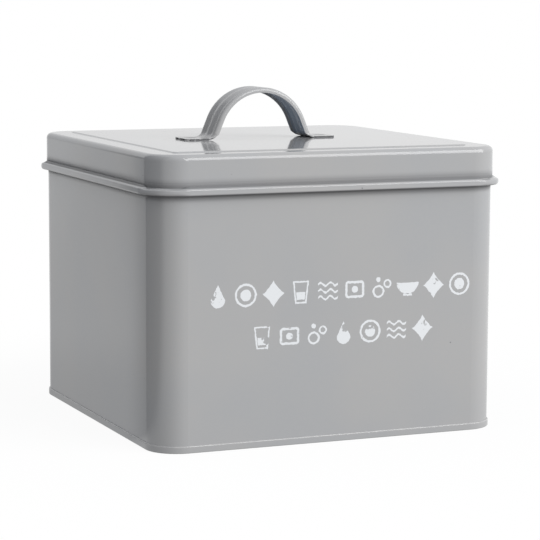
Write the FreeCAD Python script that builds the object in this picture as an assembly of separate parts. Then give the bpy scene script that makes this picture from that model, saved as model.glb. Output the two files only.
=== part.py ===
import FreeCAD, Part
import math
import os

from FreeCAD import Vector

# A square tinplate storage tin with a lift-off lid and a strap handle.
# Millimetres, +Z up. The origin is the middle of the tin's footprint, on the surface it stands on.
# X runs across the front, and the front faces -Y.
# Four pieces: the wall, the base pan seamed round its foot, the lid, and the handle welded to the lid.

# ---- driving dimensions: the sheet ----
sheet = 0.3                  # thickness of the tinplate in the wall, the pan and the lid
fold_gap = 0.06              # air left between two layers of a folded seam
join_tolerance = 0.0001      # pieces of one sheet that share a face are fused within this

# ---- driving dimensions: the wall ----
body_width = 200.0           # across the front, outside
body_depth = 200.0           # front to back, outside
corner_radius = 17.0         # outside radius of the upright corners
lid_top = 155.7              # height of the lid's flat border, lid on
hem_drop = 5.0               # length of the edge folded in along the rim
hem_pitch = 0.7              # from the middle of the wall to the middle of its folded edge
lock_width = 6.0             # the lock seam up the back, across its folds
lock_end_gap = 0.3           # free edge of each lock hook to the fold round it
lock_joggle = 0.9            # run over which the sheet steps in under the lock seam

# ---- driving dimensions: the seam round the foot ----
seam_height = 3.9            # the band round the foot
pan_recess = 2.2             # from the standing surface up to the underside of the floor
pan_bend = 0.9               # bend between the floor and the side of the pan
seam_bend = 0.4              # bends along the bottom of the band
seam_lip_bend = 0.45         # bend at the top of the band
pan_border = 3.0             # from the wall's outside in to where the flat floor begins

# ---- driving dimensions: the lid ----
lid_clearance = 0.55         # lid skirt to wall, each side
lid_seat_gap = 1.3           # rim of the wall to the underside of the lid, whose bent edge clears the rim
lid_height = 21.1            # from the bottom of the curl to the flat border
lid_edge_radius = 3.1        # outside radius where the top turns down
border_width = 14.5          # flat border, from the lid's outside to the raised panel
panel_rise = 0.5             # the panel above the border
panel_step = 1.1             # width of the slope up to the panel
panel_bend = 0.7             # bends at the foot and the head of that slope

# ---- driving dimensions: the curl round the lid's lower edge ----
curl_reach = 3.5             # how far the curl stands out from the skirt
curl_height = 5.2            # along the straight sides
curl_bottom_bend = 0.6       # where the skirt turns out
curl_nose_bend = 0.8         # widest part, straight sides
curl_nose_bend_corner = 1.4  # widest part, corners
curl_shoulder_drop = 1.8     # the shoulder below the top of the curl
curl_shoulder_lean = 0.2     # the shoulder in from the widest part
curl_shoulder_bend = 0.75
curl_shoulder_press = 0.25   # share of the crimp that the shoulder follows
curl_tuck_bend = 0.3         # where the edge turns down behind the curl
curl_tuck = 1.1              # length tucked down
curl_tuck_gap = 0.2          # tucked edge to the skirt
crimp_drop = 1.6             # how far the top of the curl is pressed down round a corner
crimp_swell = 0.45           # how much of that it rises again halfway round
crimp_ramp = 17.0            # degrees of each corner that the press takes to run in
corner_stations = 16         # sections that shape one corner

# ---- driving dimensions: the handle ----
strap = 0.85                 # thickness of the handle's sheet
strap_width = 21.0
strap_flange = 2.9           # depth of the edges turned down
strap_shoulder = 1.3         # bend of those edges, to the middle of the sheet
groove_offset = 4.5          # pressed grooves, from the middle of the strap
groove_half_width = 3.4
groove_depth = 1.1
groove_bend = 2.4
handle_height = 28.9         # top of the handle above the panel
arch_radius = 28.1           # outside of the arch
arch_half_angle = 67.6       # degrees, from the top round to the straight legs
foot_bend = 5.0              # bend from leg to foot, on the upper face
handle_span = 91.0           # tip of foot to tip of foot
handle_shift = -4.05         # the handle is welded a little left of the middle
foot_corner = 3.5            # rounded tips of the feet
weld_radius = 4.2            # pressed ring round each spot weld
weld_depth = 0.3
weld_draft = 0.8             # the ring's rim is this much wider than its floor
weld_from_tip = 6.4
bend_stations = 9            # sections that flatten the strap into a foot
strap_points = 57            # points along each face of the strap's section

# ---- heights and places that follow ----
half_width = body_width / 2
half_depth = body_depth / 2
seam_pitch = sheet + fold_gap
rim_top = lid_top - sheet - lid_seat_gap
panel_top = lid_top + panel_rise
foot_top = panel_top + strap
arch_centre_z = panel_top + handle_height - arch_radius


# ---- bent sheet ----
def unit(vector):
    return Vector(vector).normalize()


def bent_side(points, offset):
    """Edges of one face of a bent sheet: a path of (a, b, bend radius), moved sideways by offset."""
    corners = [Vector(a, b, 0) for a, b, _ in points]
    edges = []
    here = None
    for i, (_, _, radius) in enumerate(points):
        before = unit(corners[i] - corners[i - 1]) if i else unit(corners[1] - corners[0])
        after = unit(corners[i + 1] - corners[i]) if i < len(points) - 1 else before
        left_before = Vector(-before.y, before.x, 0)
        left_after = Vector(-after.y, after.x, 0)
        turn = math.atan2(before.x * after.y - before.y * after.x, before.dot(after))
        back = radius * math.tan(abs(turn) / 2)
        side = math.copysign(1.0, turn)
        start = corners[i] - before * back + left_before * offset
        end = corners[i] + after * back + left_after * offset
        if here is not None and (start - here).Length > 1e-6:
            edges.append(Part.makeLine(here, start))
        if radius and abs(turn) > 1e-9:
            centre = corners[i] - before * back + left_before * (side * radius)
            middle = centre + unit(corners[i] - centre) * (radius - side * offset)
            edges.append(Part.Arc(start, middle, end).toShape())
        here = end
    return edges


def bent_sheet(points, thickness):
    """Closed outline of a sheet bent along a path through the middle of its thickness."""
    left = bent_side(points, thickness / 2)
    right = bent_side(points, -thickness / 2)
    first_cap = Part.makeLine(right[0].firstVertex(True).Point, left[0].firstVertex(True).Point)
    last_cap = Part.makeLine(left[-1].lastVertex(True).Point, right[-1].lastVertex(True).Point)
    return Part.Wire(left + [last_cap] + right[::-1] + [first_cap])


def upright(wire):
    """Stand an outline drawn as (out from the wall, height) in the plane y = 0."""
    copy = wire.copy()
    copy.rotate(Vector(0, 0, 0), Vector(1, 0, 0), 90)
    return copy


def quarters():
    """The four sides in turn: angle, distance out to the side, half the length along it."""
    for quarter in range(4):
        out, along = (half_width, half_depth) if quarter % 2 == 0 else (half_depth, half_width)
        yield 90 * quarter, out, along


def straight_run(wire, angle, out, along):
    """Carry an outline along one side, between the corners."""
    reach = along - corner_radius
    face = Part.Face(upright(wire))
    face.translate(Vector(out, -reach, 0))
    run = face.extrude(Vector(0, 2 * reach, 0))
    run.rotate(Vector(0, 0, 0), Vector(0, 0, 1), angle)
    return run


def corner_turn(wire, angle, out, along):
    """Carry an outline round the corner at the end of one side."""
    face = Part.Face(upright(wire))
    face.translate(Vector(out, along - corner_radius, 0))
    centre = Vector(out - corner_radius, along - corner_radius, 0)
    turn = face.revolve(centre, Vector(0, 0, 1), 90)
    turn.rotate(Vector(0, 0, 0), Vector(0, 0, 1), angle)
    return turn


def ring(points):
    """A bent sheet carried all the way round the tin."""
    outline = bent_sheet(points, sheet)
    pieces = []
    for angle, out, along in quarters():
        pieces.append(straight_run(outline, angle, out, along))
        pieces.append(corner_turn(outline, angle, out, along))
    return pieces


def rounded_plate(inset, top, thickness):
    """Flat plate with the tin's plan, inset from the wall's outside."""
    x, y, r = half_width - inset, half_depth - inset, corner_radius - inset
    plate = Part.makeBox(2 * x, 2 * y, thickness, Vector(-x, -y, top - thickness))
    uprights = [e for e in plate.Edges if abs(e.tangentAt(e.FirstParameter).z) > 0.5]
    return plate.makeFillet(r, uprights)


def joined(pieces):
    """One solid from pieces that share faces."""
    return pieces[0].multiFuse(pieces[1:], join_tolerance).removeSplitter().Solids[0]


# ---- the wall ----
def wall_plan():
    """Plan of the wall: one strip, bent round four corners, its two ends hooked together at the back."""
    skin = [half_depth - sheet / 2 - layer * seam_pitch for layer in range(4)]
    side = half_width - sheet / 2
    bend = corner_radius - sheet / 2
    lock = lock_width / 2
    hook = lock - seam_pitch - sheet / 2 - lock_end_gap
    step_start = lock + sheet / 2 + lock_joggle
    step_end = lock + sheet / 2
    return [
        (-hook, skin[2], 0),
        (lock, skin[2], seam_pitch),
        (lock, skin[0], seam_pitch),
        (-side, skin[0], bend),
        (-side, -skin[0], bend),
        (side, -skin[0], bend),
        (side, skin[0], bend),
        (step_start, skin[0], sheet),
        (step_end, skin[3], sheet),
        (-lock, skin[3], seam_pitch),
        (-lock, skin[1], seam_pitch),
        (hook, skin[1], 0),
    ]


def body_wall():
    middle = -sheet / 2
    hook_bottom = sheet / 2 + seam_pitch
    wall_bottom = hook_bottom + seam_pitch
    rim_middle = rim_top - sheet / 2
    wall_top = rim_middle - hem_pitch
    strip = Part.Face(bent_sheet(wall_plan(), sheet))
    strip.translate(Vector(0, 0, wall_bottom))
    wall = strip.extrude(Vector(0, 0, wall_top - wall_bottom))

    # The inner layers of the lock seam stop short of the folds along the rim and the foot.
    layers = 4 * seam_pitch
    notch_width = lock_width + 2 * (lock_joggle + sheet)
    for low, high in ((0, pan_recess + pan_bend + sheet), (rim_top - hem_drop - sheet, rim_top)):
        corner = Vector(-notch_width / 2, half_depth - sheet - layers, low)
        wall = wall.cut(Part.makeBox(notch_width, layers, high - low, corner))

    hem = [
        (middle, wall_top, 0),
        (middle, rim_middle, hem_pitch / 2),
        (middle - hem_pitch, rim_middle, hem_pitch / 2),
        (middle - hem_pitch, rim_top - hem_drop, 0),
    ]
    foot_hook = [
        (middle, wall_bottom, 0),
        (middle, hook_bottom, seam_pitch / 2),
        (middle + seam_pitch, hook_bottom, seam_pitch / 2),
        (middle + seam_pitch, seam_height - sheet - seam_lip_bend, 0),
    ]
    return joined([wall] + ring(hem) + ring(foot_hook))


# ---- the base pan ----
def base_pan():
    inner = -sheet / 2 - seam_pitch
    outer = -sheet / 2 + 2 * seam_pitch
    floor = pan_recess + sheet / 2
    rim = [
        (-pan_border, floor, 0),
        (inner, floor, pan_bend),
        (inner, sheet / 2, seam_bend),
        (outer, sheet / 2, seam_bend),
        (outer, seam_height - sheet / 2, seam_lip_bend),
        (fold_gap, seam_height - sheet / 2, 0),
    ]
    return joined([rounded_plate(pan_border, pan_recess + sheet, sheet)] + ring(rim))


# ---- the lid ----
def crimp_at(angle):
    """How far the curl is pressed, 0 to 1, at an angle round a corner, with a slight swell halfway."""
    from_end = min(angle, 90 - angle)
    ramp = min(from_end / crimp_ramp, 1.0)
    press = ramp * ramp * (3 - 2 * ramp)
    inside = max(from_end - crimp_ramp, 0.0) / (45 - crimp_ramp)
    swell = crimp_swell / crimp_drop * math.sin(math.pi / 2 * inside) ** 2
    return press - swell


def lid_outline(press):
    """Section of the lid from its raised panel out to the tucked edge, the curl pressed by 0 to 1."""
    border = lid_top - sheet / 2
    panel = border + panel_rise
    skirt = lid_clearance + sheet / 2
    step_foot = skirt + sheet / 2 - border_width
    step_head = step_foot - panel_step
    bottom = lid_top - lid_height + sheet / 2
    nose = skirt + curl_reach
    pressed = crimp_drop * press
    unpressed_top = bottom - sheet + curl_height
    top = unpressed_top - pressed
    shoulder = unpressed_top - curl_shoulder_drop - curl_shoulder_press * pressed
    nose_bend = curl_nose_bend + (curl_nose_bend_corner - curl_nose_bend) * press
    tuck = skirt + sheet + curl_tuck_gap
    points = [
        (step_head - panel_bend, panel, 0),
        (step_head, panel, panel_bend),
        (step_foot, border, panel_bend),
        (skirt, border, lid_edge_radius - sheet / 2),
        (skirt, bottom, curl_bottom_bend),
        (nose, bottom, nose_bend),
        (nose - curl_shoulder_lean, shoulder, curl_shoulder_bend),
        (tuck, top, curl_tuck_bend),
        (tuck, top - curl_tuck, 0),
    ]
    return points


def lid_corner(angle, out, along):
    """One corner of the lid, lofted because its curl is pressed down round the bend."""
    sections = []
    for station in range(corner_stations + 1):
        turned = 90 * station / corner_stations
        section = upright(bent_sheet(lid_outline(crimp_at(turned)), sheet))
        section.translate(Vector(out, along - corner_radius, 0))
        section.rotate(Vector(out - corner_radius, along - corner_radius, 0), Vector(0, 0, 1), turned)
        section.rotate(Vector(0, 0, 0), Vector(0, 0, 1), angle)
        sections.append(section)
    return Part.makeLoft(sections, True, False)


def lid():
    outline = lid_outline(0)
    inset = -outline[0][0]
    pieces = [rounded_plate(inset, panel_top, sheet)]
    for angle, out, along in quarters():
        pieces.append(straight_run(bent_sheet(outline, sheet), angle, out, along))
        pieces.append(lid_corner(angle, out, along))
    return joined(pieces)


# ---- the handle ----
def strap_faces():
    """Points along the upper and lower face of the strap's section, as (across, up from its top)."""
    edge = strap_width / 2 - strap / 2
    flat = -strap / 2
    low = flat - groove_depth
    path = [(-edge, -strap_flange, 0), (-edge, flat, strap_shoulder)]
    for groove in (-groove_offset, groove_offset):
        path += [
            (groove - groove_half_width, flat, groove_bend),
            (groove, low, groove_bend),
            (groove + groove_half_width, flat, groove_bend),
        ]
    path += [(edge, flat, strap_shoulder), (edge, -strap_flange, 0)]
    upper = Part.Wire(bent_side(path, strap / 2)).discretize(Number=strap_points)
    lower = Part.Wire(bent_side(path, -strap / 2)).discretize(Number=strap_points)
    return upper, lower


def strap_section(shape):
    """Closed section of the strap in the plane z = 0: fully pressed at shape 1, a flat strip at 0."""
    upper, lower = strap_faces()
    sides = []
    for points, level in ((upper, 0.0), (lower, -strap)):
        placed = []
        for i, point in enumerate(points):
            flat = Vector(strap_width * (i / (strap_points - 1) - 0.5), level, 0)
            placed.append(flat + (point - flat) * shape)
        curve = Part.BSplineCurve()
        curve.interpolate(placed)
        sides.append((curve.toShape(), placed))
    (top, above), (under, below) = sides
    first_cap = Part.makeLine(below[0], above[0])
    last_cap = Part.makeLine(above[-1], below[-1])
    return Part.Wire([top, last_cap, under, first_cap])


def strap_at(shape, lean, x, z):
    """The strap's section with its top at (x, z), its face leaning towards +X by an angle in degrees."""
    section = strap_section(shape)
    across_y = FreeCAD.Rotation(Vector(1, 1, 1), 120)
    leaning = FreeCAD.Rotation(Vector(0, 1, 0), lean)
    section.Placement = FreeCAD.Placement(Vector(x, 0, z), leaning.multiply(across_y))
    return section


def foot_plate(start):
    """Flat foot from the end of its bend to its rounded tip, with the pressed ring of a spot weld."""
    tip = handle_span / 2
    plate = Part.makeBox(tip - start, strap_width, strap, Vector(start, -strap_width / 2, panel_top))
    corners = [e for e in plate.Edges if e.BoundBox.XMin > tip - 0.01 and e.BoundBox.ZLength > strap / 2]
    plate = plate.makeFillet(foot_corner, corners)
    weld_floor = Vector(tip - weld_from_tip, 0, foot_top - weld_depth)
    weld = Part.makeCone(weld_radius - weld_draft, weld_radius, weld_depth, weld_floor)
    return plate.cut(weld)


def handle():
    lean = math.radians(arch_half_angle)
    normal = Vector(math.sin(lean), 0, math.cos(lean))
    down_leg = Vector(math.cos(lean), 0, -math.sin(lean))
    arch_centre = Vector(0, 0, arch_centre_z)
    leg_top = arch_centre + normal * arch_radius
    bend_centre_z = foot_top + foot_bend
    leg_length = (leg_top.z - bend_centre_z + foot_bend * normal.z) / math.sin(lean)
    bend_centre = leg_top + down_leg * leg_length + normal * foot_bend

    arch = Part.Face(strap_at(1, -arch_half_angle, -leg_top.x, leg_top.z))
    arch = arch.revolve(arch_centre, Vector(0, 1, 0), 2 * arch_half_angle)
    leg = Part.Face(strap_at(1, arch_half_angle, leg_top.x, leg_top.z)).extrude(down_leg * leg_length)
    stations = []
    for station in range(bend_stations):
        left_to_turn = 1 - station / (bend_stations - 1)
        angle = arch_half_angle * left_to_turn
        turned = math.radians(angle)
        x = bend_centre.x - foot_bend * math.sin(turned)
        z = bend_centre.z - foot_bend * math.cos(turned)
        stations.append(strap_at(left_to_turn ** 2, angle, x, z))
    bend = Part.makeLoft(stations, True, False)
    side = [leg, bend, foot_plate(bend_centre.x)]
    other_side = [piece.mirror(Vector(0, 0, 0), Vector(1, 0, 0)) for piece in side]
    whole = joined([arch] + side + other_side)
    whole.translate(Vector(handle_shift, 0, 0))
    return whole


os.makedirs("parts", exist_ok=True)
PIECES = {
    "body_wall": body_wall,
    "base_pan": base_pan,
    "lid": lid,
    "handle": handle,
}
for node, make in PIECES.items():
    solid = make()
    solid.exportStep(f"parts/{node}.step")
    box = solid.optimalBoundingBox()
    print(f"{node}: valid {solid.isValid()}, {len(solid.Faces)} faces, {solid.Volume:.0f} mm3,"
          f" x {box.XMin:.2f} {box.XMax:.2f}, y {box.YMin:.2f} {box.YMax:.2f}, z {box.ZMin:.2f} {box.ZMax:.2f}")
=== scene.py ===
# %% [markdown]
# A square tinplate storage tin: a grey enamelled box with a lift-off lid and a strap handle.
# The CAD model already holds the bends, seams and folds of the sheet, so those four pieces stay as they are.
# Blender adds the paint, the white stamped marks on the front, and a small studio.

# %% Load the frame
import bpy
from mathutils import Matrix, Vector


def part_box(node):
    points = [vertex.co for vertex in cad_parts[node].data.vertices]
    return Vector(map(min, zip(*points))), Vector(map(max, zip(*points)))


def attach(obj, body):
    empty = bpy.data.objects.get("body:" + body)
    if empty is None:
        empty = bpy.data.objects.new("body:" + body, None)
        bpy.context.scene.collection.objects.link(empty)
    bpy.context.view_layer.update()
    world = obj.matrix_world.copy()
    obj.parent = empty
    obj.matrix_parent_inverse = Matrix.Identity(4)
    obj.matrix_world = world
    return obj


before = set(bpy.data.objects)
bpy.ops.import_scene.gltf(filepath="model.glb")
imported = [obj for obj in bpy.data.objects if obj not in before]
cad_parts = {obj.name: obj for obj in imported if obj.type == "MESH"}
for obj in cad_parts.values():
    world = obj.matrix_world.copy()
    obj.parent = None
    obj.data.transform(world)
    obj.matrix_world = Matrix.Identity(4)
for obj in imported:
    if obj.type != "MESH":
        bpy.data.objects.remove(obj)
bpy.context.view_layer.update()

# %% [markdown]
# Places on the tin are worked out from the boxes of its CAD nodes, so the finishes follow the model.
# The wall's box is widened by the folded seam at its foot, and the flat front lies behind that fold.
# The curl is the rolled edge round the bottom of the lid, and a narrow crease runs along its top.

# %% Measure the tin
import math

import bmesh
import bpy
from mathutils import Matrix, Quaternion, Vector, noise

MM = 0.001
wall_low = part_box("body_wall")[0]
lid_low, lid_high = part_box("lid")
handle_low, handle_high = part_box("handle")
SEAM_FOLD = 0.36 * MM
CURL_HEIGHT = 3.9 * MM
curl_foot = lid_low.z
crease = curl_foot + CURL_HEIGHT
front_y = wall_low.y + SEAM_FOLD
seam_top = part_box("base_pan")[1].z
print("front face at y =", round(front_y, 5), "and the foot seam ends at z =", round(seam_top, 5))
print("crease above the curl at z =", round(crease, 5))

# %% [markdown]
# Materials are small networks of nodes. One helper adds a node and fills its inputs, so each recipe
# below reads as a list of steps.
# A value that is itself the output of another node is linked, and any other value is typed in.

# %% Helper: add a shader node
def add_node(tree, kind, settings=None, **inputs):
    node = tree.nodes.new(kind)
    for name, value in (settings or {}).items():
        setattr(node, name, value)
    for name, value in inputs.items():
        socket = node.inputs[int(name[1:])] if name[1:].isdigit() else node.inputs[name.replace("_", " ")]
        if isinstance(value, bpy.types.NodeSocket):
            tree.links.new(value, socket)
        else:
            socket.default_value = value
    return node


def new_material(name):
    material = bpy.data.materials.new(name)
    material.use_nodes = True
    tree = material.node_tree
    tree.nodes.clear()
    place = add_node(tree, "ShaderNodeTexCoord").outputs["Object"]
    return material, tree, place


print("node helper ready")

# %% [markdown]
# A spot or band of a pattern comes from a value pushed through a Map Range node: everything under one
# level is 0, everything over another is 1, and between them it fades. The value may be a noise, a
# height on the tin, or the way the sheet faces.
# A mix of two colours by such a mask is the second step that every paint recipe repeats.

# %% Helpers: masks and colour mixes
def fade(tree, value, low, high, start=0.0, end=1.0):
    node = add_node(tree, "ShaderNodeMapRange", {"interpolation_type": "SMOOTHSTEP"},
                    i0=value, i1=low, i2=high, i3=start, i4=end)
    return node.outputs[0]


def noise_mask(tree, place, scale, low, high, detail=2.0, roughness=0.5):
    cloud = add_node(tree, "ShaderNodeTexNoise", Vector=place, Scale=scale, Detail=detail,
                     Roughness=roughness)
    return fade(tree, cloud.outputs["Fac"], low, high)


def calculate(tree, operation, a, b=0.0):
    return add_node(tree, "ShaderNodeMath", {"operation": operation}, i0=a, i1=b).outputs[0]


def part_of(tree, vector, letter):
    return add_node(tree, "ShaderNodeSeparateXYZ", Vector=vector).outputs[letter]


def mix_colour(tree, factor, first, second):
    node = add_node(tree, "ShaderNodeMix", {"data_type": "RGBA"}, i0=factor, i6=first, i7=second)
    return node.outputs[2]


print("mask and mix helpers ready")

# %% [markdown]
# The enamel is a stoved semi-gloss paint. Up close it is never one flat grey: the coat is a little
# thicker in places, a few specks of dust are baked in, and handling leaves faint dull smudges.
# Two noises, one broad and one fine, change the grey by a few percent. The specks are darker but far
# apart: they sit in one in five cells of a Voronoi pattern. The smudges come with the gloss, below.

# %% Paint: the colour of the grey enamel
GREY = (0.386, 0.389, 0.394, 1.0)
GREY_WARM = (0.396, 0.394, 0.393, 1.0)
GREY_COOL = (0.374, 0.380, 0.390, 1.0)
SPECK = (0.20, 0.20, 0.21, 1.0)
CLOUD_SCALE = 14.0
GRAIN_SCALE = 420.0
GRAIN_STRENGTH = 0.5
SPECK_SCALE = 70.0
SPECK_EDGE = (0.035, 0.02)
SPECK_CELLS = (0.80, 0.82)


def enamel_colour(tree, place):
    cloud = noise_mask(tree, place, CLOUD_SCALE, 0.35, 0.65, detail=3.0)
    tone = mix_colour(tree, cloud, GREY_COOL, GREY_WARM)
    grain = noise_mask(tree, place, GRAIN_SCALE, 0.3, 0.7)
    tone = mix_colour(tree, calculate(tree, "MULTIPLY", grain, GRAIN_STRENGTH), tone, GREY)
    dust = add_node(tree, "ShaderNodeTexVoronoi", Vector=place, Scale=SPECK_SCALE)
    near = fade(tree, dust.outputs["Distance"], *SPECK_EDGE)
    cell = add_node(tree, "ShaderNodeSeparateColor", Color=dust.outputs["Color"]).outputs[0]
    chosen = fade(tree, cell, *SPECK_CELLS)
    return mix_colour(tree, calculate(tree, "MULTIPLY", near, chosen), tone, SPECK)


print("grey enamel about", [round(c, 3) for c in GREY[:3]])

# %% [markdown]
# The gloss matters more than the colour here. The paint mirrors a bright room at low angles, which is
# why the top of the lid looks far lighter than the front.
# Two ripples bend that mirror a little: orange peel, a shallow ripple of a few millimetres, and a much
# longer one, because thin sheet is never quite flat. Smudges raise the roughness in patches.

# %% Paint: the enamel's gloss and relief
PEEL_SCALE = 420.0
PEEL_DEPTH = 0.002 * MM
SHEET_SCALE = 11.0
SHEET_DEPTH = 0.03 * MM
SMUDGE_SCALE = 26.0


def enamel_relief(tree, place):
    peel = add_node(tree, "ShaderNodeTexNoise", Vector=place, Scale=PEEL_SCALE, Detail=1.0)
    sheet = add_node(tree, "ShaderNodeTexNoise", Vector=place, Scale=SHEET_SCALE, Detail=1.0)
    long_wave = add_node(tree, "ShaderNodeBump", Strength=1.0, Distance=SHEET_DEPTH,
                         Height=sheet.outputs["Fac"])
    return add_node(tree, "ShaderNodeBump", Strength=1.0, Distance=PEEL_DEPTH,
                    Height=peel.outputs["Fac"], Normal=long_wave.outputs[0]).outputs[0]


def enamel_gloss(tree, place, smooth, dull):
    smudge = noise_mask(tree, place, SMUDGE_SCALE, 0.52, 0.72, detail=4.0, roughness=0.6)
    return fade(tree, smudge, 0.0, 1.0, smooth, dull)


print("peel", round(PEEL_DEPTH / MM, 4), "mm deep and sheet ripple", round(SHEET_DEPTH / MM, 4), "mm")

# %% [markdown]
# Some finishes belong to one face of the sheet. The wall is painted inside and out, but the painted shade
# round the curl goes on the outside only. The dot product of two directions tells which face a point is on:
# it is positive where the surface faces the same way as the direction it is compared with.
# For the outside of the tin that direction runs level, from the middle axis out to the point.

# %% Helpers: which way the sheet faces
def facing(tree, direction):
    normal = add_node(tree, "ShaderNodeNewGeometry").outputs["Normal"]
    return add_node(tree, "ShaderNodeVectorMath", {"operation": "DOT_PRODUCT"}, i0=normal,
                    i1=direction).outputs["Value"]


def outer_side(tree, place):
    level = add_node(tree, "ShaderNodeVectorMath", {"operation": "MULTIPLY"}, i0=place,
                     i1=(1.0, 1.0, 0.0))
    return fade(tree, facing(tree, level.outputs[0]), 0.0, 0.02)


print("face helpers ready")

# %% [markdown]
# The crease above the curl and the wall just under it are painted a thin dark grey. This is painted shade
# for where the curl shades them. An ambient occlusion node could find such places, but it would change as
# the lid is lifted, and a plain height doesn't. The painted shade is strongest at the curl and runs out a
# few millimetres away. It is the same on all four sides. Higher up, where the lid hides the wall, there is
# none.

# %% Finish: painted shade round the curl
# Painted shade: a dark grey for the crease above the curl, the wall just under it, and the feet's edges.
SHADE_GREY = (0.09, 0.09, 0.095, 1.0)
LID_SHADE = 0.68
CURL_SHADE = 0.75
SHADE_ROUGHNESS = 0.6
CREASE_EDGE = 0.2 * MM
LID_REACH = 5.5 * MM
WALL_REACH = 4.0 * MM


# Painted shade on the lid, in the crease above the curl and along the curl's lower edge.
def lid_painted_shade(tree, place):
    height = part_of(tree, place, "Z")
    starts = fade(tree, height, crease - CREASE_EDGE, crease + CREASE_EDGE)
    thins = fade(tree, height, crease + LID_REACH, crease, 0.0, LID_SHADE)
    above = calculate(tree, "MULTIPLY", starts, thins)
    above = calculate(tree, "MULTIPLY", above, outer_side(tree, place))
    below = fade(tree, height, curl_foot + 0.8 * MM, curl_foot + 0.1 * MM, 0.0, CURL_SHADE)
    return calculate(tree, "MAXIMUM", above, below)


# Painted shade on the outside of the wall, just under the curl.
def wall_painted_shade(tree, place):
    height = part_of(tree, place, "Z")
    thickens = fade(tree, height, curl_foot - WALL_REACH, curl_foot, 0.0, CURL_SHADE)
    stops = fade(tree, height, curl_foot + 1.6 * MM, curl_foot + 0.6 * MM)
    shade_film = calculate(tree, "MULTIPLY", thickens, stops)
    return calculate(tree, "MULTIPLY", shade_film, outer_side(tree, place))


print("grime from z =", round(curl_foot - WALL_REACH, 4), "to", round(crease + LID_REACH, 4))

# %% [markdown]
# The strap of the handle was cut after the sheet was coated, so the cut edges of its feet are bare and
# chipped. They are painted dark in broken chips, partly for that bare metal and partly as painted shade
# where the feet meet the lid. They are found by two things: they stand upright, and they are just above the
# lid.
# The inside of the strap is painted a darker, bluer grey than the outside. This is painted shade with a cool
# painted reflection. It is found by the way it faces, which is towards the middle of the arch.

# %% Finish: painted shade at the handle's foot edges and inside the strap
# Painted shade and a cool painted reflection for the inside of the strap.
INSIDE_SHADE_BLUE = (0.32, 0.375, 0.45, 1.0)
CHIP_SCALE = 260.0
UPRIGHT = (0.7, 0.4)
FACES_MIDDLE = (0.5, 0.8)
ARCH_MIDDLE = ((handle_low.x + handle_high.x) / 2, 0.0, lid_high.z + 3.0 * MM)


# Dark chips on the feet's upright edges: partly bare metal, partly painted shade where the feet meet the
# lid.
def cut_edge_and_shade(tree, place):
    slope = calculate(tree, "ABSOLUTE", facing(tree, (0.0, 0.0, 1.0)))
    upright = fade(tree, slope, *UPRIGHT)
    foot = fade(tree, part_of(tree, place, "Z"), lid_high.z + 1.5 * MM, lid_high.z + 1.1 * MM)
    chips = noise_mask(tree, place, CHIP_SCALE, 0.60, 0.52)
    return calculate(tree, "MULTIPLY", calculate(tree, "MULTIPLY", upright, foot), chips)


# Painted shade on the faces that turn towards the middle of the arch.
def strap_inside_shade(tree, place):
    inward = add_node(tree, "ShaderNodeVectorMath", {"operation": "SUBTRACT"}, i0=ARCH_MIDDLE, i1=place)
    inward = add_node(tree, "ShaderNodeVectorMath", {"operation": "NORMALIZE"}, i0=inward.outputs[0])
    return fade(tree, facing(tree, inward.outputs[0]), *FACES_MIDDLE)


print("middle of the arch", [round(c, 4) for c in ARCH_MIDDLE])

# %% [markdown]
# The top of the seam round the foot is a thin lip that gets rubbed first. It is painted a lighter grey,
# partly for that wear and partly as a painted highlight along the lip. A noise breaks the lighter
# line up, so that it looks worn and not drawn.

# %% Finish: the lighter lip of the foot seam, wear and painted highlight
# A lighter grey for the seam's lip: partly wear, partly a painted highlight.
RUBBED_HIGHLIGHT = (0.43, 0.43, 0.43, 1.0)
RUB_SCALE = 150.0


def lip_wear_and_highlight(tree, place):
    lip = fade(tree, part_of(tree, place, "Z"), seam_top - 1.0 * MM, seam_top - 0.5 * MM)
    return calculate(tree, "MULTIPLY", lip, noise_mask(tree, place, RUB_SCALE, 0.25, 0.50))


print("rubbed lip below z =", round(seam_top, 5))

# %% [markdown]
# One recipe now makes the paint of all four pieces, and each piece adds its own finish to it. Four
# separate networks would say the same thing four times.
# The painted shade is both darker and duller than paint, so its mask drives the colour and the roughness
# together.

# %% Recipe: enamel with a finish of its own
def finish_surface(material, colour, roughness, relief):
    tree = material.node_tree
    shader = add_node(tree, "ShaderNodeBsdfPrincipled", Base_Color=colour, Roughness=roughness,
                      Normal=relief, IOR=1.5)
    output = add_node(tree, "ShaderNodeOutputMaterial")
    tree.links.new(shader.outputs[0], output.inputs["Surface"])


def make_enamel(name, roughness, painted_shade=None, wear_and_highlight=None, shaded_inside=False):
    material, tree, place = new_material(name)
    colour = enamel_colour(tree, place)
    gloss = enamel_gloss(tree, place, *roughness)
    # Painted shade and a cool painted reflection on the inside of the strap.
    if shaded_inside:
        colour = mix_colour(tree, strap_inside_shade(tree, place), colour, INSIDE_SHADE_BLUE)
    # Lighter lip of the foot seam: wear and a painted highlight.
    if wear_and_highlight:
        colour = mix_colour(tree, wear_and_highlight(tree, place), colour, RUBBED_HIGHLIGHT)
    # Painted shade: darker and duller wherever the mask is set.
    if painted_shade:
        shade_film = painted_shade(tree, place)
        colour = mix_colour(tree, shade_film, colour, SHADE_GREY)
        gloss = fade(tree, shade_film, 0.0, 1.0, gloss, SHADE_ROUGHNESS)
    finish_surface(material, colour, gloss, enamel_relief(tree, place))
    return material


print("enamel recipe ready")

# %% [markdown]
# The two numbers of each roughness are the clean paint and the paint under a smudge. The handle is
# touched every day, which leaves it duller than the rest.
# A CAD node already has material slots, so the paint goes into the slots and the mesh isn't touched.

# %% Paint the four pieces
GLOSSY = (0.07, 0.11)
HANDLED = (0.20, 0.27)
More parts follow.
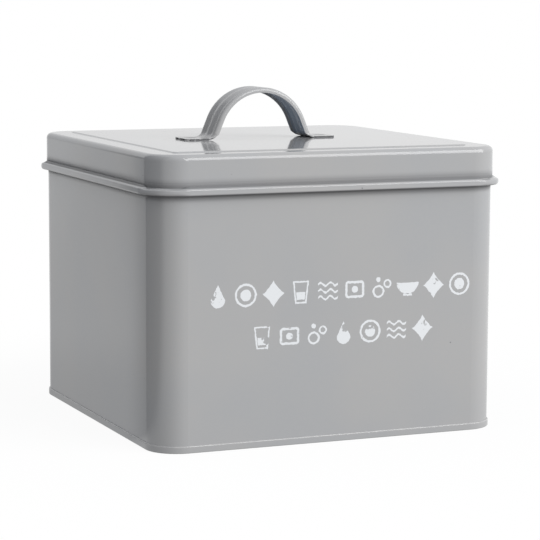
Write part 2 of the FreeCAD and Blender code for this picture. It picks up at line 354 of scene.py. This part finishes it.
# The lid and the wall get painted shade round the curl. The handle gets painted shade inside and at its
# feet. The pan gets a lighter lip that is partly a painted highlight.
PAINTS = {
    "body_wall": make_enamel("body_enamel_paint", GLOSSY, painted_shade=wall_painted_shade),
    "base_pan": make_enamel("pan_enamel_paint", GLOSSY, wear_and_highlight=lip_wear_and_highlight),
    "lid": make_enamel("lid_enamel_paint", GLOSSY, painted_shade=lid_painted_shade),
    "handle": make_enamel("handled_enamel_paint", HANDLED, painted_shade=cut_edge_and_shade, shaded_inside=True),
}
for node_name, paint in PAINTS.items():
    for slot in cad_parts[node_name].material_slots:
        slot.material = paint
    print("painted", node_name, "with", paint.name)

# %% [markdown]
# The front carries two rows of small white marks, put on with a rubber stamp: drops, plates, glasses,
# tablets, stars of light and the like. A stamp leaves a film of ink only a few hundredths of a
# millimetre thick. The marks could be painted into the enamel with masks, but real film geometry keeps
# crisp edges at any size, and each mark is a disc, a square or a grid that mesh operators reshape.

# %% Helpers: discs, squares and outlines
STROKE = 1.35


def disc(mesh, radius, x=0.0, y=0.0, sides=40):
    made = bmesh.ops.create_circle(mesh, cap_ends=True, radius=radius, segments=sides,
                                   matrix=Matrix.Translation((x, y, 0)))
    return made["verts"][0].link_faces[0]


def block(mesh, half_width, half_height, y=0.0, taper=1.0):
    face = disc(mesh, math.sqrt(2), sides=4)
    bmesh.ops.rotate(mesh, verts=face.verts, matrix=Matrix.Rotation(math.radians(45), 3, "Z"))
    for corner in face.verts:
        narrowed = half_width * (taper if corner.co.y < 0 else 1.0)
        corner.co = (corner.co.x * narrowed, y + corner.co.y * half_height, 0)
    return face


def hollow(mesh, face, stroke=STROKE):
    bmesh.ops.inset_region(mesh, faces=[face], thickness=stroke, use_boundary=True)
    bmesh.ops.delete(mesh, geom=[face], context="FACES")


print("outline stroke", STROKE, "mm")

# %% [markdown]
# A drop is a disc whose upper half is drawn out to a point. A star of light is a disc whose points are
# raised to a power, which pulls its sides in to four cusps. A tablet is a square with its corners
# bevelled round. All sizes here are in millimetres.

# %% Marks: drop, star and tablet
DROP_RADIUS = 4.1
DROP_STRETCH = 0.95
STAR_HALF_WIDTH = 6.3
STAR_HALF_HEIGHT = 7.2
STAR_POWER = 2.4


def drop(mesh):
    face = disc(mesh, DROP_RADIUS)
    for point in face.verts:
        rise = max(point.co.y / DROP_RADIUS, 0.0)
        point.co.x *= math.sqrt(1.0 - min(rise, 0.9999))
        point.co.y = point.co.y * (1.0 + DROP_STRETCH * rise) - 1.9


def star(mesh):
    face = disc(mesh, 1.0, sides=32)
    for point in face.verts:
        x, y = point.co.x, point.co.y
        point.co.x = STAR_HALF_WIDTH * math.copysign(abs(x) ** STAR_POWER, x)
        point.co.y = STAR_HALF_HEIGHT * math.copysign(abs(y) ** STAR_POWER, y)


def tablet(mesh):
    face = block(mesh, 5.6, 4.6)
    bmesh.ops.bevel(mesh, geom=list(face.verts), offset=1.8, affect="VERTICES", segments=5,
                    profile=0.5, material=-1)
    hollow(mesh, mesh.faces[:][0])
    disc(mesh, 1.9)


print("drop, star and tablet ready")

# %% [markdown]
# A plate is a ring round a disc, a glass is a square narrowed at its foot with a second one for the
# water, and a bowl is a disc cut off by a plane, with a foot. Bubbles are two rings and a dot. Ripples
# are three thin grids bent along a sine.

# %% Marks: plate, glass, bowl, bubbles and ripples
def plate(mesh):
    hollow(mesh, disc(mesh, 6.2), 1.2)
    disc(mesh, 3.1)


def glass(mesh):
    hollow(mesh, block(mesh, 4.6, 6.0, taper=0.72), 1.25)
    block(mesh, 2.7, 2.0, y=-1.9, taper=0.86)


def bowl(mesh):
    face = disc(mesh, 6.6, y=2.6)
    bmesh.ops.bisect_plane(mesh, geom=[face, *face.edges, *face.verts], plane_co=(0, 2.2, 0),
                           plane_no=(0, 1, 0), clear_outer=True)
    block(mesh, 2.6, 0.6, y=-4.4)


def bubbles(mesh):
    hollow(mesh, disc(mesh, 3.5, -1.7, -1.8), 1.15)
    hollow(mesh, disc(mesh, 2.4, 3.6, 2.2), 1.05)
    disc(mesh, 1.3, -1.8, 4.6, sides=24)


RIPPLE_HALF_LENGTH = 5.8
RIPPLE_HALF_STROKE = 0.6
RIPPLE_SWING = 0.9


def ripples(mesh):
    for height in (-3.6, 0.0, 3.6):
        made = bmesh.ops.create_grid(mesh, x_segments=20, y_segments=1, size=1.0)
        for point in made["verts"]:
            across = point.co.x * RIPPLE_HALF_LENGTH
            wave = RIPPLE_SWING * math.sin(across * 1.08)
            point.co = (across, height + RIPPLE_HALF_STROKE * point.co.y + wave, 0)


print("eight kinds of mark")

# %% [markdown]
# Each mark is drawn lying flat, in millimetres, about its own middle. Worn rubber has no clean edge, so
# the outline is cut into short steps and each point is pushed a little out of line by a noise.
# Blender takes the start of this noise from the clock unless it is given a seed, and a fixed seed cuts the
# same stamps each time the script runs.
# One matrix then stands the mark up against the front and moves it to its place in its row.
# Last, the film's normals are made to point outwards, and solidify gives the ink its thickness.

# %% Stamp the two rows of marks
INK_THICKNESS = 0.03 * MM
STAMP_SEED = 1795366395
ROUGH_STEP = 0.45
ROUGH_SCALE = 1.1
ROUGH_DEPTH = 0.32
STAND_UP = Matrix.Rotation(math.radians(90), 4, "X") @ Matrix.Scale(MM, 4)
UPPER_ROW = (drop, plate, star, glass, ripples, tablet, bubbles, bowl, star, plate)
LOWER_ROW = (glass, tablet, bubbles, drop, plate, ripples, star)
ROW_PITCH = 15.7 * MM
UPPER_ROW_LEFT, UPPER_ROW_HEIGHT = -66.6 * MM, 81.5 * MM
LOWER_ROW_LEFT, LOWER_ROW_HEIGHT = -41.6 * MM, 58.5 * MM


def roughen(stamp, seed):
    for cuts in range(1, 30):
        longer = [edge for edge in stamp.edges if cuts <= edge.calc_length() / ROUGH_STEP < cuts + 1]
        if longer:
            bmesh.ops.subdivide_edges(stamp, edges=longer, cuts=cuts)
    for vert in stamp.verts:
        push = noise.noise_vector((vert.co + seed) * ROUGH_SCALE)
        vert.co += ROUGH_DEPTH * Vector((push.x, push.y, 0.0))


def stamp_row(mesh, marks, left, height):
    for number, mark in enumerate(marks):
        stamp = bmesh.new()
        mark(stamp)
        roughen(stamp, Vector((left / MM + 40.0 * number, height / MM, 0.0)))
        place = Matrix.Translation((left + number * ROW_PITCH, front_y, height)) @ STAND_UP
        bmesh.ops.transform(stamp, matrix=place, verts=stamp.verts)
        flat = bpy.data.meshes.new("stamp")
        stamp.to_mesh(flat)
        stamp.free()
        mesh.from_mesh(flat)
        bpy.data.meshes.remove(flat)


noise.seed_set(STAMP_SEED)
mesh = bmesh.new()
stamp_row(mesh, UPPER_ROW, UPPER_ROW_LEFT, UPPER_ROW_HEIGHT)
stamp_row(mesh, LOWER_ROW, LOWER_ROW_LEFT, LOWER_ROW_HEIGHT)
bmesh.ops.recalc_face_normals(mesh, faces=mesh.faces)
for face in mesh.faces:
    if face.normal.y > 0:
        face.normal_flip()
bmesh.ops.solidify(mesh, geom=mesh.faces[:], thickness=-INK_THICKNESS)
marks_mesh = bpy.data.meshes.new("front_marks")
mesh.to_mesh(marks_mesh)
mesh.free()
front_marks = bpy.data.objects.new("front_marks", marks_mesh)
bpy.context.scene.collection.objects.link(front_marks)
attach(front_marks, "tin")
print("front marks:", len(marks_mesh.polygons), "faces")

# %% [markdown]
# Stamped ink is thin and uneven. It misses the enamel in small breaks, and the grey shows through.
# A fine noise makes small breaks all over and a coarser one opens a few wider gaps. The ink is duller
# than the paint, so the roughness follows the same mask.

# %% Paint: the white ink
INK_WHITE = (0.73, 0.75, 0.77, 1.0)
INK_ROUGHNESS = 0.42
BARE_ROUGHNESS = 0.18
BREAK_SCALE = 330.0
GAP_SCALE = 95.0
INK_GRAIN_SCALE = 900.0
INK_GRAIN_DEPTH = 0.006 * MM


def make_ink(name):
    material, tree, place = new_material(name)
    breaks = noise_mask(tree, place, BREAK_SCALE, 0.64, 0.68, detail=4.0, roughness=0.65)
    gaps = noise_mask(tree, place, GAP_SCALE, 0.63, 0.66, detail=3.0, roughness=0.6)
    missing = calculate(tree, "MAXIMUM", breaks, gaps)
    colour = mix_colour(tree, missing, INK_WHITE, GREY)
    rough = fade(tree, missing, 0.0, 1.0, INK_ROUGHNESS, BARE_ROUGHNESS)
    grain = add_node(tree, "ShaderNodeTexNoise", Vector=place, Scale=INK_GRAIN_SCALE, Detail=2.0)
    relief = add_node(tree, "ShaderNodeBump", Strength=1.0, Distance=INK_GRAIN_DEPTH,
                      Height=grain.outputs["Fac"])
    finish_surface(material, colour, rough, relief.outputs[0])
    return material


marks_mesh.materials.append(make_ink("white_stamp_ink"))
print("ink on", front_marks.name)

# %% [markdown]
# A Light Path node tells rays of light apart. A camera ray is what the eye sees, a glossy ray is what a
# mirror sees, a transmission ray is what is seen through glass, and the rest light the matt paint.
# What is seen and what lights the paint can then differ, so a white room doesn't wash out the grey.

# %% Helper: the rays that see the room
def seen_rays(tree):
    path = add_node(tree, "ShaderNodeLightPath")
    seen = calculate(tree, "MAXIMUM", path.outputs["Is Camera Ray"], path.outputs["Is Glossy Ray"])
    return calculate(tree, "MAXIMUM", seen, path.outputs["Is Transmission Ray"])


def camera_rays(tree):
    return add_node(tree, "ShaderNodeLightPath").outputs["Is Camera Ray"]


print("ray helpers ready")

# %% [markdown]
# The eye sees a white studio. The gloss mirrors one that is dark on the left, as if a black card stood
# there, and a little under white elsewhere. The card gives the left side and the near corner their shape.
# A real card would do the same and would have to be kept out of the picture.
# The matt paint gets a dim fill from all round, stronger from high up on the left and behind, as from
# a window.

# %% The room
FILL_TINT = (0.97, 0.985, 1.02, 1.0)
WINDOW_WAY = (-0.50, 0.35, 0.79)
FILL_LEVEL = 0.25
WINDOW_LEVEL = 0.86
WHITE = (1.0, 1.0, 1.0, 1.0)
CARD_LEFT_EDGE = (-0.35, -0.31)
CARD_FRONT_EDGE = (-0.20, -0.60)
RIGHT_STEP = (0.28, 0.42)
ROOM_LEVELS = (0.86, 0.92)

world = bpy.data.worlds.new("white_studio")
world.use_nodes = True
world.cycles.sampling_method = "NONE"
bpy.context.scene.world = world
tree = world.node_tree
tree.nodes.clear()
direction = add_node(tree, "ShaderNodeTexCoord").outputs["Generated"]
across = part_of(tree, direction, "X")
clear_of_card = calculate(tree, "MAXIMUM", fade(tree, across, *CARD_LEFT_EDGE),
                          fade(tree, part_of(tree, direction, "Y"), *CARD_FRONT_EDGE))
backdrop = calculate(tree, "MULTIPLY", clear_of_card, fade(tree, across, *RIGHT_STEP, *ROOM_LEVELS))
window = add_node(tree, "ShaderNodeVectorMath", {"operation": "DOT_PRODUCT"}, i0=direction,
                  i1=WINDOW_WAY).outputs["Value"]
fill = add_node(tree, "ShaderNodeBackground", Color=FILL_TINT,
                Strength=fade(tree, window, 0.3, 0.95, FILL_LEVEL, WINDOW_LEVEL))
mirrored = add_node(tree, "ShaderNodeBackground", Color=WHITE, Strength=backdrop)
plain = add_node(tree, "ShaderNodeBackground", Color=WHITE, Strength=1.0)
white = add_node(tree, "ShaderNodeMixShader", Fac=camera_rays(tree), i1=mirrored.outputs[0],
                 i2=plain.outputs[0])
switch = add_node(tree, "ShaderNodeMixShader", Fac=seen_rays(tree), i1=fill.outputs[0], i2=white.outputs[0])
output = add_node(tree, "ShaderNodeOutputWorld")
tree.links.new(switch.outputs[0], output.inputs["Surface"])
print("mirrored room up to", ROOM_LEVELS[1], "and fill from", FILL_LEVEL, "to", WINDOW_LEVEL)

# %% The floor
FLOOR_HALF_SIZE = 4.0

mesh = bmesh.new()
bmesh.ops.create_grid(mesh, x_segments=1, y_segments=1, size=FLOOR_HALF_SIZE)
floor_mesh = bpy.data.meshes.new("floor")
mesh.to_mesh(floor_mesh)
mesh.free()
floor = bpy.data.objects.new("floor", floor_mesh)
bpy.context.scene.collection.objects.link(floor)
print("floor", tuple(floor.dimensions))

# %% [markdown]
# The gloss mirrors the floor more than the room, because upright walls are seen from a little above. So
# the floor needs the same dark card, and it fades along a straight line that runs back and to the left.
# The slope of that line was chosen for the angle of the main view, so that the left wall darkens evenly
# from back to front there. From other sides the dark part falls elsewhere on the tin.

# %% Helper: the floor that the gloss mirrors
LINE_SHIFT = 0.1
LINE_SLOPE = 2.8
NEAR_RAMP = (-0.115, -0.045)
FAR_RAMP = (0.1, 0.3)
NEAR_LEVEL = 0.80
FAR_LEVEL = 0.20
AROUND_TIN = (0.10, 0.40)


def mirrored_floor(tree, place, distance):
    aside = calculate(tree, "ADD", part_of(tree, place, "X"), LINE_SHIFT)
    behind = part_of(tree, place, "Y")
    past_line = calculate(tree, "ADD", behind, calculate(tree, "MULTIPLY", aside, LINE_SLOPE))
    lit = calculate(tree, "ADD", fade(tree, past_line, *NEAR_RAMP, 0.0, NEAR_LEVEL),
                    fade(tree, past_line, *FAR_RAMP, 0.0, FAR_LEVEL))
    in_front = fade(tree, calculate(tree, "DIVIDE", behind, distance), *CARD_FRONT_EDGE)
    lit = calculate(tree, "MAXIMUM", lit, in_front)
    return calculate(tree, "MULTIPLY", lit, fade(tree, distance, *AROUND_TIN, 0.80, 1.0))


print("mirrored floor fades along a slope of", LINE_SLOPE)

# %% [markdown]
# The floor's material mixes three surfaces: a dim glow that lights the matt paint from below, a matt
# white that takes the tin's shadow, and a glow that is full white to the eye. The matt white shows weakly
# near the tin and not at all further off, so the floor runs into the room with no line between them.

# %% Paint: the pale floor
FLOOR_FILL = 0.42
FLOOR_MATT = (0.95, 0.95, 0.95, 1.0)
SHADOW_FADE = (0.12, 0.36)

material, tree, place = new_material("pale_floor")
distance = add_node(tree, "ShaderNodeVectorMath", {"operation": "LENGTH"}, i0=place).outputs["Value"]
paper = add_node(tree, "ShaderNodeEmission", Color=WHITE, Strength=FLOOR_FILL)
shadowed = add_node(tree, "ShaderNodeBsdfDiffuse", Color=FLOOR_MATT)
lit = mirrored_floor(tree, place, distance)
glow = add_node(tree, "ShaderNodeEmission", Color=WHITE,
                Strength=calculate(tree, "MAXIMUM", lit, camera_rays(tree)))
clean = fade(tree, distance, *SHADOW_FADE, 0.93, 1.0)
seen = add_node(tree, "ShaderNodeMixShader", Fac=clean, i1=shadowed.outputs[0], i2=glow.outputs[0])
switch = add_node(tree, "ShaderNodeMixShader", Fac=seen_rays(tree), i1=paper.outputs[0], i2=seen.outputs[0])
output = add_node(tree, "ShaderNodeOutputMaterial")
tree.links.new(switch.outputs[0], output.inputs["Surface"])
material.cycles.emission_sampling = "NONE"
floor_mesh.materials.append(material)
print("floor painted with", material.name)

# %% [markdown]
# One large softbox hangs in front of the tin, to the right and above it. It lights the front and the
# top, leaves the left side to the fill, and draws the bright line along the bend of the lid.
# Its size keeps the shadow on the floor soft.

# %% The softbox
AIM_POINT = Vector((0.0, 0.0, 0.1))


def softbox(name, azimuth, elevation, distance, size, power):
    lamp = bpy.data.lights.new(name, "AREA")
    lamp.shape = "RECTANGLE"
    lamp.size, lamp.size_y = size
    lamp.energy = power
    holder = bpy.data.objects.new(name, lamp)
    a, e = math.radians(azimuth), math.radians(elevation)
    towards = Vector((math.sin(a) * math.cos(e), -math.cos(a) * math.cos(e), math.sin(e)))
    holder.location = AIM_POINT + towards * distance
    holder.rotation_mode = "QUATERNION"
    holder.rotation_quaternion = towards.to_track_quat("Z", "Y")
    bpy.context.scene.collection.objects.link(holder)
    return holder


key = softbox("key_softbox", azimuth=37, elevation=27, distance=3.2, size=(3.3, 2.3), power=121.0)
print("softbox at", [round(c, 2) for c in key.location])

# %% [markdown]
# The camera stands to the left of the front, a little above the lid, with a long lens, so the upright
# edges stay nearly parallel. A very small roll levels the lid's edge.

# %% The camera
LENS_LENGTH = 144.34
ROLL_DEGREES = 0.269

lens = bpy.data.cameras.new("camera")
lens.lens = LENS_LENGTH
camera = bpy.data.objects.new("camera", lens)
camera.location = (-0.4780, -1.1332, 0.2406)
aim = Vector((0.0046, -0.0019, 0.0803))
level = (camera.location - aim).to_track_quat("Z", "Y")
camera.rotation_mode = "QUATERNION"
camera.rotation_quaternion = level @ Quaternion((0, 0, 1), math.radians(ROLL_DEGREES))
bpy.context.scene.collection.objects.link(camera)
bpy.context.scene.camera = camera
bpy.context.scene.view_settings.view_transform = "Standard"
print("camera", round((camera.location - aim).length, 3), "m from the tin")
